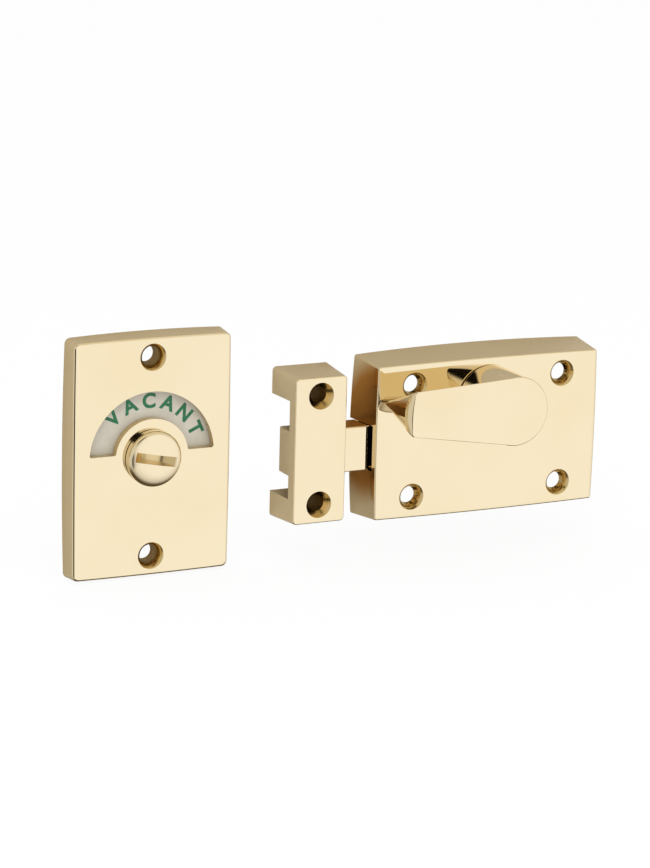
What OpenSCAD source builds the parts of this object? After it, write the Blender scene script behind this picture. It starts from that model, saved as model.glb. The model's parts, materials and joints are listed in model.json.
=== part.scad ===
// Toilet indicator bolt in polished cast brass, laid out as a set of three castings side by side:
// the bolt case with its thumb turn, the keep that takes the bolt, and the indicator plate that
// goes on the other side of the door. A rack on the bolt meshes with a pinion on the turn's spindle,
// so half a turn of the thumb turn draws the bolt out of the keep.
// Millimetres. The mounting faces lie in the plane y = 0, the fronts face -Y and +Z is up.
// The origin is the middle of the case's back face.

/* [Layout of the set] */
// Gap between the bolt end of the case and the keep
keep_gap = 7.4; // [3:0.2:12]
// Gap between the keep and the indicator plate
plate_gap = 15.3; // [5:0.1:60]
// Height of the indicator plate's middle above the case's middle
plate_lift = 0.5; // [-10:0.5:10]

/* [Bolt case] */
// Width of the case at its back, over its swollen ends
case_w = 77.2; // [75:0.2:90]
// Height of the case at its back, over its swollen sides
case_h = 50.2; // [49:0.2:60]
// Thickness of the case's front wall
case_face = 3.5; // [2.5:0.1:5]
// Thickness of the case's side walls
case_wall = 2; // [1.5:0.1:3]
// How much each side leans in from back to front
case_draft = 1.5; // [0.5:0.1:2.5]
// Swell of the hand-polished sides between their corners, at the back
case_bow = 1; // [0:0.1:1.5]
// Distance from the back outline to the fixing screws, along the width
case_screw_in_x = 14; // [13:0.1:16]
// Distance from the back outline to the fixing screws, along the height
case_screw_in_z = 8.3; // [8:0.1:9.5]

/* [Keep] */
// Width of the keep at its back
keep_w = 18; // [14:0.5:24]
// Height of the keep at its back
keep_h = 45; // [42:0.5:54]
// Thickness of the front web that the bolt passes behind
keep_web = 3.4; // [2.5:0.1:5]
// Height of each foot
keep_foot = 7.9; // [7.5:0.1:10]
// How much each side leans in from back to front
keep_draft = 0.8; // [0:0.1:1.5]
// Distance from the back outline to the fixing screws
keep_screw_in = 6.3; // [6:0.1:7]

/* [Indicator plate] */
// Width of the plate at its back, over its swollen sides
plate_w = 50; // [48:0.2:60]
// Height of the plate at its back, over its swollen ends
plate_h = 71.4; // [68:0.2:90]
// Overall thickness of the plate
plate_t = 6.5; // [6:0.1:9]
// Thickness of the front wall round the screws
plate_face = 4.5; // [4.2:0.1:5]
// Width of the rim left round the hollow back
plate_rim = 2.8; // [2:0.1:4]
// How much each side leans in from back to front
plate_draft = 0.7; // [0:0.1:1.5]
// Swell of the hand-polished sides between their corners, at the back
plate_bow = 0.9; // [0:0.1:1.5]
// Distance from the back outline to the fixing screws
plate_screw_in = 6.5; // [6:0.1:8]
// Outer radius of the half-round window
window_ro = 19; // [17:0.1:20]
// Inner radius of the half-round window
window_ri = 11.2; // [10.5:0.1:12]
// Height of the window's straight ends above the turn's axis
window_lift = 1.3; // [0:0.1:3]
// Thickness of the front skin round the window
window_skin = 2.5; // [1.5:0.1:3]

/* [Thumb turn] */
// Radius of the round end
turn_r = 10; // [9:0.1:11]
// Distance from the spindle's axis to the tip
turn_reach = 35.5; // [28:0.5:45]
// Height of the tip
turn_tip_h = 13.3; // [10:0.1:16]
// How far the turn stands out from the case
turn_out = 17.5; // [16:0.1:24]
// Depth of the arm from its flat front to its ridge
turn_arm_d = 15.5; // [10:0.1:15.6]
// How far the tip points above level when the bolt is shot
turn_tilt = 3; // [0:0.5:10]
// Angle through which the turn works the bolt
turn_angle = 180; // [150:5:185]

/* [Bolt, rack and pinion] */
// Height of the bolt
bolt_h = 13.4; // [11:0.1:14.5]
// Thickness of the bolt
bolt_t = 8.6; // [7:0.1:11]
// How far the bolt's end stops short of the keep's far side
bolt_short = 1.6; // [0:0.1:4]
// Depth of the heel that stops the shot bolt inside the case
heel_h = 2; // [1.8:0.1:3]
// Module of the rack and pinion
gear_module = 1.2; // [1.1:0.05:1.25]
// Number of pinion teeth
pinion_teeth = 12; // [11:1:12]

/* [Spindle] */
// Side of the square spindle
spindle_sq = 5; // [4:0.1:5.5]
// Length of spindle behind the case, for the door and the indicator
spindle_out = 36; // [30:1:70]

/* [Indicator] */
// Largest radius of the release turn
release_r = 8.6; // [8:0.1:9.5]
// How far the release turn stands out from the plate
release_out = 2.8; // [2:0.1:4]
// Length of the coin slot
coin_slot_l = 11.8; // [8:0.1:13]
// Width of the coin slot
coin_slot_w = 2.9; // [1.5:0.1:4]
// Depth of the coin slot at its middle
coin_slot_d = 2.2; // [1:0.1:2.5]
// Clockwise lean of the slot and the disc's words
indicator_lean = 11; // [0:1:20]
// Thickness of the indicator disc
disc_t = 1.2; // [0.8:0.1:1.4]

/* [Screws and clearances] */
// Diameter of the fixing screw holes
screw_d = 5; // [4:0.1:5.5]
// Diameter of the countersinks
countersink_d = 8; // [7:0.1:8.5]
// Gap all round a shaft that turns in its bore
shaft_gap = 0.05; // [0.02:0.01:0.1]
// Gap beside a face that slides or turns
slide_gap = 0.15; // [0.1:0.01:0.3]
// Gap round a piece that is pressed or screwed home
press_gap = 0.02; // [0.01:0.01:0.05]
// Free play between the flanks of the rack and the pinion
gear_play = 0.16; // [0.1:0.01:0.3]

/* [Hidden] */

$fn = 48;
brass = [0.86, 0.72, 0.42];
steel = [0.66, 0.67, 0.69];
spring_steel = [0.42, 0.43, 0.46];
nylon = [0.90, 0.89, 0.84];
enamel = [0.86, 0.84, 0.80];

// Castings: rounding of the outline, polished front edge, share of the swell that is left at the flat
// front, and steps along corners and sides
case_corner_r = 0.8;
keep_corner_r = 1.2;
plate_corner_r = 1;
edge = 0.4;
front_swell = 0.3;
corner_steps = 4;
side_steps = 6;
cut = 1;

// Gear train: everything in the case hangs off the pinion tucked under the top wall
pitch_r = gear_module * pinion_teeth / 2;
tip_r = pitch_r + gear_module;
root_r = pitch_r - 1.25 * gear_module;
pressure_angle = 25;
base_r = pitch_r * cos(pressure_angle);
rack_pitch = PI * gear_module;
pinion_room = 1.2;
case_in_x = case_w / 2 - case_bow - case_wall - case_draft;
case_in_y = case_h / 2 - case_bow - case_wall - case_draft;
turn_y = case_in_y - pinion_room - tip_r;
rack_y = turn_y - pitch_r;
throw = PI * pitch_r * turn_angle / 180;

// Depths, measured out from the door: back plate, bolt, front wall
back_plate_t = 1.5;
bolt_z0 = back_plate_t + 2 * slide_gap;
bolt_z1 = bolt_z0 + bolt_t;
case_in = bolt_z1 + slide_gap;
case_d = case_in + case_face;
keep_bolt_gap = 0.7;
keep_d = bolt_z1 + keep_bolt_gap + keep_web;

// Bolt heights and places along the case
bolt_top = rack_y + gear_module;
bolt_bottom = bolt_top - bolt_h;
heel_bottom = bolt_bottom - heel_h;
bolt_stop_gap = 0.3;
heel_x = -case_in_x + bolt_stop_gap;
bolt_tail_x = case_in_x - bolt_stop_gap - throw;
keep_x = -case_w / 2 - keep_gap - keep_w / 2;
bolt_end_x = keep_x - keep_w / 2 + bolt_short;
bolt_nose_r = 1;

// Friction spring let into the underside of the heel
spring_l = 24;
spring_w = 5;
spring_t = 0.4;
spring_cover = 0.5;
spring_end_gap = 1;
spring_pocket_d = heel_h - spring_cover;
spring_x = (heel_x + bolt_tail_x) / 2;
spring_z = (bolt_z0 + bolt_z1) / 2;
spring_low = heel_bottom - slide_gap + shaft_gap;
spring_rise = heel_bottom + spring_pocket_d - press_gap - spring_t - spring_low;
spring_r = (pow(spring_l / 2, 2) + pow(spring_rise, 2)) / (2 * spring_rise);

// Guide rail under the bolt and the pillars that carry the back plate
rail_top = heel_bottom - slide_gap;
rail_h = 3;
pillar_r = 2.6;
pillar_gap = 0.8;
pillar_in = 9.6;
pillar_x = case_w / 2 - pillar_in;
pillar_top_y = bolt_top + pillar_gap + pillar_r;
pillar_low_y = rail_top - pillar_r;
pillars = [for (y = [pillar_top_y, pillar_low_y], sx = [-1, 1]) [sx * pillar_x, y]];
plate_screw_d = 2.5;
plate_screw_head_d = 4.4;
plate_screw_l = 7;
plate_screw_slot = 0.7;
plate_margin = 1;
pinion_cover = 3;

// Spindle and what sits on it, from the front wall back to the back plate
journal_wall = 1;
journal_d = spindle_sq * sqrt(2) + 2 * journal_wall;
bush_wall = 1.5;
bush_d = journal_d + 2 * shaft_gap + 2 * bush_wall;
flange_t = 0.4;
flange_in = 1;
journal_end = case_in;
washer_t = 0.5;
pinion_z1 = journal_end - shaft_gap - washer_t;
clip_t = 0.7;
clip_z0 = back_plate_t + slide_gap;
pinion_z0 = clip_z0 + clip_t + press_gap;
spindle_groove = 0.5;
spindle_groove_r = spindle_sq * sqrt(2) / 2 - spindle_groove;
clip_wall = 2;
spindle_hole_gap = 2;
spindle_hole_d = spindle_sq * sqrt(2) + 2 * spindle_hole_gap;
socket_depth = 16;

// Thumb turn
turn_base = case_d + flange_t + shaft_gap;
turn_front = case_d + turn_out;
turn_tip_bow = 0.8;
turn_tip_bevel = 1.8;
turn_ridge_r = 1.6;
turn_arm_in = 0.05;
grub_d = 3;
grub_l = 6;
grub_socket_d = 1.5;
grub_up = 5;
grub_z = turn_base + grub_up;

// Indicator plate, disc and release turn
plate_x = keep_x - keep_w / 2 - plate_gap - plate_w / 2;
axis_2 = [plate_x, plate_lift];
disc_lap = 1.6;
disc_r = window_ro + disc_lap;
disc_gap = 0.5;
disc_floor = plate_t - window_skin;
disc_washer_t = 0.25;
disc_washer_w = 1.5;
disc_z1 = disc_floor - disc_washer_t - shaft_gap;
disc_z0 = disc_z1 - disc_t;
shank_wall = 1.5;
shank_d = spindle_sq * sqrt(2) + 2 * shank_wall;
shank_flat_in = 0.6;
shank_groove = 0.5;
shank_end = 0.8;
disc_clip_t = 0.7;
disc_clip_z1 = disc_z0 - press_gap;
release_base = plate_t + slide_gap;
release_edge = 1.2;
release_dome = 0.15;
release_socket_d = 3.4;
stop_pin_d = 1.6;
stop_out = 2.6;
stop_r = shank_d / 2 + stop_out;
stop_slot_gap = 0.25;
indicator_angle = 180;

// Pieces are drawn lying on their backs: x along the door, y up it, z out from it
module stand() rotate([90, 0, 0]) children();

// Rounded rectangle, with each side divided into a number of steps
function rounded_rect(w, h, r, steps = 1) =
    let (raw = [for (c = [[1, 1, 0], [-1, 1, 90], [-1, -1, 180], [1, -1, 270]], i = [0 : corner_steps])
        let (a = c[2] + 90 * i / corner_steps)
        [c[0] * (w / 2 - r) + r * cos(a), c[1] * (h / 2 - r) + r * sin(a)]])
    [for (i = [0 : len(raw) - 1])
        let (a = raw[i], b = raw[(i + 1) % len(raw)], n = (i + 1) % (corner_steps + 1) == 0 ? steps : 1)
        for (j = [0 : n - 1]) a + (b - a) * j / n];

// The same outline with its sides swollen, its overall size kept
function swollen(w, h, bow, r) =
    let (a = w / 2 - bow, b = h / 2 - bow)
    [for (p = rounded_rect(2 * a, 2 * b, r, bow > 0 ? side_steps : 1))
        [p[0] + bow * p[0] / a * (1 - pow(p[1] / b, 2)), p[1] + bow * p[1] / b * (1 - pow(p[0] / a, 2))]];

// Solid through a stack of outlines, each given as [height, points]
module loft(levels) {
    n = len(levels[0][1]);
    top = (len(levels) - 1) * n;
    polyhedron(
        points = [for (level = levels, p = level[1]) [p[0], p[1], level[0]]],
        faces = concat(
            [[for (i = [0 : n - 1]) i], [for (i = [n - 1 : -1 : 0]) top + i]],
            [for (k = [0 : len(levels) - 2], i = [0 : n - 1])
                let (a = k * n + i, b = k * n + (i + 1) % n) each [[a, a + n, b + n], [a, b + n, b]]]));
}

// Cast block with drafted sides that swell towards the back, and a polished front edge
module casting(w, h, d, draft, bow, r) {
    front_bow = front_swell * bow;
    front_in = draft + bow - front_bow;
    lean = front_in * (d - edge) / d;
    loft([
        [0, swollen(w, h, bow, r)],
        [d - edge, swollen(w - 2 * lean, h - 2 * lean, bow - (bow - front_bow) * (d - edge) / d, r)],
        [d, swollen(w - 2 * (front_in + edge), h - 2 * (front_in + edge), front_bow, r)]]);
}

// Hollow of the same form, open at the back
module hollow(w, h, d, draft, r) {
    loft([[-cut, rounded_rect(w, h, r)], [d, rounded_rect(w - 2 * draft, h - 2 * draft, r)]]);
}

// Countersunk screw hole through a front face at height z
module screw_hole(z) {
    sink = (countersink_d - screw_d) / 2;
    translate([0, 0, -cut]) cylinder(d = screw_d, h = z + 2 * cut);
    translate([0, 0, z - sink]) cylinder(d1 = screw_d, d2 = countersink_d + 2 * cut, h = sink + cut);
}

module square_bar(side, z0, z1) translate([-side / 2, -side / 2, z0]) cube([side, side, z1 - z0]);

module ring(d_out, d_in, z0, z1) {
    translate([0, 0, z0]) difference() {
        cylinder(d = d_out, h = z1 - z0);
        translate([0, 0, -cut]) cylinder(d = d_in, h = z1 - z0 + 2 * cut);
    }
}

// Retaining ring with an open mouth to the right
module clip(r_in, r_out, z0, z1) {
    difference() {
        ring(2 * r_out, 2 * r_in, z0, z1);
        translate([0, -r_in / 2, z0 - cut]) cube([r_out + cut, r_in, z1 - z0 + 2 * cut]);
    }
}

// Bolt case: hollow casting with the guide rail, pillars, bolt mouth and screw holes

module case_pillar(p) {
    translate([p[0], p[1], back_plate_t]) cylinder(r = pillar_r, h = case_in - back_plate_t + cut);
}

module bolt_case() {
    screw_x = case_w / 2 - case_screw_in_x;
    screw_y = case_h / 2 - case_screw_in_z;
    in_w = case_w - 2 * case_bow - 2 * case_wall;
    in_h = case_h - 2 * case_bow - 2 * case_wall;
    color(brass) stand() difference() {
        union() {
            difference() {
                casting(case_w, case_h, case_d, case_draft, case_bow, case_corner_r);
                hollow(in_w, in_h, case_in, case_draft, case_corner_r);
            }
            for (p = pillars) case_pillar(p);
            translate([-case_in_x - cut, rail_top - rail_h, bolt_z0])
                cube([2 * (case_in_x + cut), rail_h, case_in - bolt_z0 + cut]);
        }
        translate([-case_w / 2 - cut, bolt_bottom - slide_gap, -cut])
            cube([case_wall + 3 * case_draft + 2 * cut, bolt_h + 2 * slide_gap, case_in + cut]);
        translate([0, turn_y, 0]) cylinder(d = bush_d + 2 * press_gap, h = case_d + cut);
        for (sx = [-1, 1], sy = [-1, 1]) translate([sx * screw_x, sy * screw_y, 0]) screw_hole(case_d);
        for (p = pillars) translate([p[0], p[1], -cut])
            cylinder(d = plate_screw_d + 2 * press_gap, h = plate_screw_l + 2 * cut);
    }
}

module turn_bush() {
    color(nylon) stand() translate([0, turn_y, 0]) {
        ring(bush_d, journal_d + 2 * shaft_gap, case_in, case_d);
        ring(2 * (turn_r - flange_in), journal_d + 2 * shaft_gap, case_d, case_d + flange_t);
    }
}

// Back plate: covers the bolt and the pinion, and leaves the screw holes open

module back_plate_outline() {
    x = pillar_x + pillar_r + plate_margin;
    y0 = rail_top - rail_h;
    y1 = pillar_top_y + pillar_r;
    tab = tip_r + pinion_cover;
    translate([-x, y0]) square([2 * x, y1 - y0]);
    translate([-tab, y0]) square([2 * tab, turn_y + tip_r - y0]);
    for (sx = [-1, 1]) translate([sx * pillar_x, pillar_low_y]) circle(pillar_r + plate_margin);
}

module back_plate() {
    sink = (plate_screw_head_d - plate_screw_d) / 2;
    color(brass) stand() difference() {
        linear_extrude(back_plate_t) back_plate_outline();
        translate([0, turn_y, -cut]) cylinder(d = spindle_hole_d, h = back_plate_t + 2 * cut);
        for (p = pillars) translate([p[0], p[1], 0]) {
            translate([0, 0, -cut]) cylinder(d = plate_screw_d + 2 * press_gap, h = back_plate_t + 2 * cut);
            translate([0, 0, -cut])
                cylinder(d1 = plate_screw_head_d + 2 * cut, d2 = plate_screw_d, h = sink + cut);
        }
    }
}

module back_plate_screw(i) {
    head_d = plate_screw_head_d - 5 * press_gap;
    head_h = (head_d - plate_screw_d) / 2;
    color(steel) stand() translate([pillars[i][0], pillars[i][1], 0]) difference() {
        union() {
            translate([0, 0, press_gap]) cylinder(d = plate_screw_d, h = plate_screw_l - press_gap);
            translate([0, 0, press_gap]) cylinder(d1 = head_d, d2 = plate_screw_d, h = head_h);
        }
        translate([-head_d, -plate_screw_slot / 2, -cut])
            cube([2 * head_d, plate_screw_slot, cut + head_h / 2]);
    }
}

// Thumb turn: round boss, tapered arm with a flat face and a V-shaped back, and the journal

function turn_outline(r, reach, half_tip) =
    let (taper = asin(r / norm([reach, half_tip])) - atan2(half_tip, reach), n = 6, m = 20)
    concat(
        [for (i = [-n : n]) let (t = i / n) [reach + turn_tip_bow * (1 - t * t), half_tip * t]],
        [for (i = [0 : m]) let (a = 90 - taper + (180 + 2 * taper) * i / m) r * [cos(a), sin(a)]]);

function squeezed(points, f) = [for (p = points) [p[0], p[1] * f]];

module turn_arm() {
    half_tip = turn_tip_h / 2;
    end_r = turn_r - turn_arm_in;
    face = turn_outline(end_r, turn_reach - turn_tip_bow, half_tip);
    front = turn_outline(end_r - edge, turn_reach - turn_tip_bow - turn_tip_bevel, half_tip - edge);
    ridge_z = turn_front - turn_arm_d;
    ridge_f = turn_ridge_r / turn_r;
    loft([
        [ridge_z, squeezed(face, ridge_f / 3)],
        [ridge_z + turn_ridge_r / 3, squeezed(face, ridge_f)],
        [turn_front - turn_tip_bevel, face],
        [turn_front, front]]);
}

module thumb_turn() {
    color(brass) stand() translate([0, turn_y, 0]) difference() {
        union() {
            rotate(180 - turn_tilt) turn_arm();
            translate([0, 0, turn_base]) cylinder(r = turn_r, h = turn_front - edge - turn_base);
            translate([0, 0, turn_front - edge]) cylinder(r1 = turn_r, r2 = turn_r - edge, h = edge);
            translate([0, 0, journal_end]) cylinder(d = journal_d, h = turn_base - journal_end + cut);
        }
        square_bar(spindle_sq + 2 * press_gap, journal_end - cut, journal_end + socket_depth);
        translate([0, 0, grub_z]) rotate([90, 0, 0]) cylinder(d = grub_d + 2 * press_gap, h = turn_r + cut);
    }
}

module turn_grub_screw() {
    reach = spindle_sq / 2 + press_gap;
    color(steel) stand() translate([0, turn_y, grub_z]) rotate([90, 0, 0]) difference() {
        translate([0, 0, reach]) cylinder(d = grub_d, h = grub_l);
        translate([0, 0, reach + grub_l / 2]) cylinder(d = grub_socket_d, h = grub_l, $fn = 6);
    }
}

module turn_spindle() {
    color(steel) stand() translate([0, turn_y, 0]) difference() {
        square_bar(spindle_sq, -spindle_out, journal_end + socket_depth - press_gap);
        ring(4 * spindle_sq, 2 * spindle_groove_r, clip_z0 - press_gap, pinion_z0);
    }
}

// Pinion: involute teeth worked out from the module, one of them pointing straight down

function involute(a) = tan(a) * 180 / PI - a;

function tooth_half_angle(r) =
    90 / pinion_teeth - gear_play / (2 * pitch_r) * 180 / PI
    + involute(pressure_angle) - involute(acos(min(1, base_r / r)));

function on_circle(r, a) = r * [cos(a), sin(a)];

function tooth(middle) =
    let (n = 4, flank = [for (i = [0 : n]) base_r + (tip_r - base_r) * i / n])
    concat(
        [on_circle(root_r, middle - tooth_half_angle(base_r))],
        [for (i = [0 : n]) on_circle(flank[i], middle - tooth_half_angle(flank[i]))],
        [for (i = [n : -1 : 0]) on_circle(flank[i], middle + tooth_half_angle(flank[i]))],
        [on_circle(root_r, middle + tooth_half_angle(base_r))]);

module pinion() {
    color(brass) stand() translate([0, turn_y, 0]) difference() {
        translate([0, 0, pinion_z0]) linear_extrude(pinion_z1 - pinion_z0)
            polygon([for (i = [0 : pinion_teeth - 1]) each tooth(-90 + 360 * i / pinion_teeth)]);
        square_bar(spindle_sq + 2 * press_gap, pinion_z0 - cut, pinion_z1 + cut);
    }
}

module pinion_washer() {
    color(steel) stand() translate([0, turn_y, 0])
        ring(2 * root_r, spindle_sq * sqrt(2) + 2 * shaft_gap, pinion_z1, pinion_z1 + washer_t);
}

module pinion_clip() {
    r_in = spindle_groove_r + press_gap;
    color(spring_steel) stand() translate([0, turn_y, 0])
        clip(r_in, r_in + clip_wall, clip_z0, clip_z0 + clip_t);
}

// Bolt: nose, heel and rack in one bar, rounded at the end that enters the keep

function rack_gap(x) =
    let (slope = tan(pressure_angle), half = rack_pitch / 4, depth = 1.25 * gear_module)
    let (mouth = half + gear_module * slope, floor = half - depth * slope)
    [[x + mouth, bolt_top], [x + floor, rack_y - depth],
     [x - floor, rack_y - depth], [x - mouth, bolt_top]];

module bolt_profile() {
    travel_teeth = ceil(throw / rack_pitch);
    polygon(concat(
        [[bolt_end_x, bolt_bottom], [heel_x, bolt_bottom], [heel_x, heel_bottom],
         [bolt_tail_x, heel_bottom], [bolt_tail_x, bolt_top]],
        [for (g = [1 : -1 : -travel_teeth - 1]) each rack_gap(g * rack_pitch)],
        [[bolt_end_x, bolt_top]]));
}

module rounded_nose(h, r) {
    hull() {
        translate([r, r]) circle(r, $fn = 32);
        translate([r, h - r]) circle(r, $fn = 32);
        translate([bolt_tail_x - bolt_end_x, 0]) square([r, h]);
    }
}

module bolt() {
    whole_h = bolt_top - heel_bottom;
    pocket_l = spring_l + 2 * spring_end_gap;
    pocket_w = spring_w + 2 * slide_gap;
    color(brass) stand() difference() {
        intersection() {
            translate([0, 0, bolt_z0]) linear_extrude(bolt_t) bolt_profile();
            translate([bolt_end_x, heel_bottom + whole_h, bolt_z0]) rotate([90, 0, 0])
                linear_extrude(whole_h) rounded_nose(bolt_t, bolt_nose_r);
        }
        translate([spring_x - pocket_l / 2, heel_bottom - cut, spring_z - pocket_w / 2])
            cube([pocket_l, spring_pocket_d + cut, pocket_w]);
    }
}

module bolt_spring() {
    swing = 2 * asin(spring_l / 2 / spring_r);
    color(spring_steel) stand() translate([spring_x, spring_low + spring_r, spring_z - spring_w / 2])
        rotate(-90 - swing / 2) rotate_extrude(angle = swing, $fn = 360)
            translate([spring_r - spring_t, 0]) square([spring_t, spring_w]);
}

// Keep: front web on two feet, open at both sides and at the back

module keep() {
    screw_y = keep_h / 2 - keep_screw_in;
    color(brass) stand() translate([keep_x, 0, 0]) difference() {
        casting(keep_w, keep_h, keep_d, keep_draft, 0, keep_corner_r);
        translate([-keep_w, -keep_h / 2 + keep_foot, -cut])
            cube([2 * keep_w, keep_h - 2 * keep_foot, keep_d - keep_web + cut]);
        for (sy = [-1, 1]) translate([0, sy * screw_y, 0]) screw_hole(keep_d);
    }
}

// Indicator plate: hollow-backed casting with the half-round window and the disc's recess

module window_cut() {
    translate([0, 0, -cut]) linear_extrude(plate_t + 2 * cut) difference() {
        circle(window_ro);
        circle(window_ri);
        translate([-2 * window_ro, window_lift - 4 * window_ro]) square(4 * window_ro);
    }
}

module indicator_plate() {
    screw_y = plate_h / 2 - plate_screw_in;
    in_w = plate_w - 2 * plate_bow - 2 * plate_rim;
    in_h = plate_h - 2 * plate_bow - 2 * plate_rim;
    color(brass) stand() translate([axis_2[0], axis_2[1], 0]) difference() {
        casting(plate_w, plate_h, plate_t, plate_draft, plate_bow, plate_corner_r);
        hollow(in_w, in_h, plate_t - plate_face, plate_draft, plate_corner_r);
        translate([0, 0, -cut]) cylinder(r = disc_r + disc_gap, h = disc_floor + cut, $fn = 96);
        window_cut();
        translate([0, 0, -cut]) cylinder(d = shank_d + 2 * shaft_gap, h = plate_t + 2 * cut);
        translate([0, -stop_r, 0])
            cylinder(d = stop_pin_d + 2 * press_gap, h = disc_floor + window_skin / 2);
        for (sy = [-1, 1]) translate([0, sy * screw_y, 0]) screw_hole(plate_t);
    }
}

// Release turn: domed head with a coin slot, a shank with two flats for the disc, and a square socket

module release_turn() {
    head = plate_t + release_out - release_base;
    cutter_r = (pow(coin_slot_l / 2, 2) + pow(coin_slot_d, 2)) / (2 * coin_slot_d);
    edge_points = [for (a = [0 : 15 : 90])
        [release_r - release_edge + release_edge * cos(a), head - release_edge + release_edge * sin(a)]];
    color(brass) stand() translate([axis_2[0], axis_2[1], 0]) rotate(-indicator_lean) difference() {
        union() {
            translate([0, 0, release_base]) rotate_extrude()
                polygon(concat([[0, 0], [release_r, 0]], edge_points, [[0, head + release_dome]]));
            translate([0, 0, disc_z1]) cylinder(d = shank_d, h = release_base - disc_z1 + cut);
            translate([0, 0, shank_end]) linear_extrude(disc_z1 - shank_end) shank_section(0);
        }
        translate([0, coin_slot_w / 2, plate_t + release_out + cutter_r - coin_slot_d]) rotate([90, 0, 0])
            cylinder(r = cutter_r, h = coin_slot_w, $fn = 96);
        square_bar(spindle_sq + 4 * shaft_gap, 0, shank_end + release_socket_d);
        ring(2 * shank_d, shank_d - 2 * shank_groove, disc_clip_z1 - disc_clip_t - press_gap, disc_z0);
    }
}

module shank_section(gap) {
    intersection() {
        circle(d = shank_d + 2 * gap);
        square([2 * shank_d, shank_d - 2 * shank_flat_in + 2 * gap], center = true);
    }
}

module indicator_disc() {
    slot_r0 = stop_r - stop_pin_d / 2 - stop_slot_gap;
    slot_r1 = stop_r + stop_pin_d / 2 + stop_slot_gap;
    spare = asin((stop_pin_d / 2 + stop_slot_gap) / stop_r);
    color(enamel) stand() translate([axis_2[0], axis_2[1], disc_z0]) difference() {
        cylinder(r = disc_r, h = disc_t, $fn = 96);
        translate([0, 0, -cut]) rotate(-indicator_lean)
            linear_extrude(disc_t + 2 * cut) shank_section(press_gap);
        translate([0, 0, -cut]) rotate(-90 - indicator_angle - spare)
            rotate_extrude(angle = indicator_angle + 2 * spare, $fn = 96)
                translate([slot_r0, 0]) square([slot_r1 - slot_r0, disc_t + 2 * cut]);
    }
}

module disc_washer() {
    color(nylon) stand() translate([axis_2[0], axis_2[1], 0])
        ring(shank_d + 2 * disc_washer_w, shank_d + 2 * shaft_gap, disc_floor - disc_washer_t, disc_floor);
}

module disc_clip() {
    r_in = shank_d / 2 - shank_groove + press_gap;
    color(spring_steel) stand() translate([axis_2[0], axis_2[1], 0]) rotate(-indicator_lean)
        clip(r_in, r_in + clip_wall, disc_clip_z1 - disc_clip_t, disc_clip_z1);
}

module disc_stop_pin() {
    color(steel) stand() translate([axis_2[0], axis_2[1] - stop_r, disc_z0])
        cylinder(d = stop_pin_d, h = disc_floor + window_skin / 2 - press_gap - disc_z0);
}

bolt_case();
turn_bush();
back_plate();
back_plate_screw(0);  // back_plate_screw_1
back_plate_screw(1);  // back_plate_screw_2
back_plate_screw(2);  // back_plate_screw_3
back_plate_screw(3);  // back_plate_screw_4
thumb_turn();
turn_grub_screw();
turn_spindle();
pinion();
pinion_washer();
pinion_clip();
bolt();
bolt_spring();
keep();
indicator_plate();
release_turn();
indicator_disc();
disc_washer();
disc_clip();
disc_stop_pin();
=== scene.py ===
"""Toilet indicator bolt in polished cast brass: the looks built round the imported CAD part.

Metres, in the CAD part's own frame: mounting faces in the plane y = 0, fronts towards -Y, +Z up.
"""

import json
import math

import bmesh
import bpy
from mathutils import Matrix, Vector


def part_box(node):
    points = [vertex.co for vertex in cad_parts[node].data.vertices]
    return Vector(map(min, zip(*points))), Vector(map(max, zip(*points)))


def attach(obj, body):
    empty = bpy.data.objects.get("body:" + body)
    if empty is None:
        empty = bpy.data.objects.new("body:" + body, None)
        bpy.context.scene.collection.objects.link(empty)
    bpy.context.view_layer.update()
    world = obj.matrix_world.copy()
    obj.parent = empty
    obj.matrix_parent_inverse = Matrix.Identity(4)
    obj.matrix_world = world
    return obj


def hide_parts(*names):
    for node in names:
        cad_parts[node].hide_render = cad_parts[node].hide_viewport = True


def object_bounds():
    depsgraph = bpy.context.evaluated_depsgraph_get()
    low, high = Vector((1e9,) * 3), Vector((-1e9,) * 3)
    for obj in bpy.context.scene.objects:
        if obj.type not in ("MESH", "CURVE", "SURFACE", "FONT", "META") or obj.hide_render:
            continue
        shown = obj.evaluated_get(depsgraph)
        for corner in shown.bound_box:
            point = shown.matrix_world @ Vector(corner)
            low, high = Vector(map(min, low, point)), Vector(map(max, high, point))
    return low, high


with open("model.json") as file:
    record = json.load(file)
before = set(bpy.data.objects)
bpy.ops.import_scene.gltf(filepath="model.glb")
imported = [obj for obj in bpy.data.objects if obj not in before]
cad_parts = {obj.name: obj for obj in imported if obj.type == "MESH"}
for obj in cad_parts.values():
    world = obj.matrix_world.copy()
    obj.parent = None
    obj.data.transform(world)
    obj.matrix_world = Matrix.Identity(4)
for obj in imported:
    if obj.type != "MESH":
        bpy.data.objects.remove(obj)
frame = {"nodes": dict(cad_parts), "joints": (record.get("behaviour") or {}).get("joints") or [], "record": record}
cad_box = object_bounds()

# A millimetre, how far a tool reaches past what it cuts, and the distance that counts as the same place
MM = 0.001
PAST = 1 * MM
TOUCH = 0.002 * MM

# Cosines from which an edge runs along an axis, a face looks one way, and a face is part of a polished front
ALONG = 0.8
FACING = 0.9
FRONT_FLAT = 0.95

# Sides of round pieces, from the smallest holes to the largest rounds, and steps of a rounded edge
HOLE_SIDES = 32
SMALL_SIDES = 48
BORE_SIDES = 72
SHANK_SIDES = 96
ARM_SIDES = 120
FINE_SIDES = 128
EDGE_STEPS = 4

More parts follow.
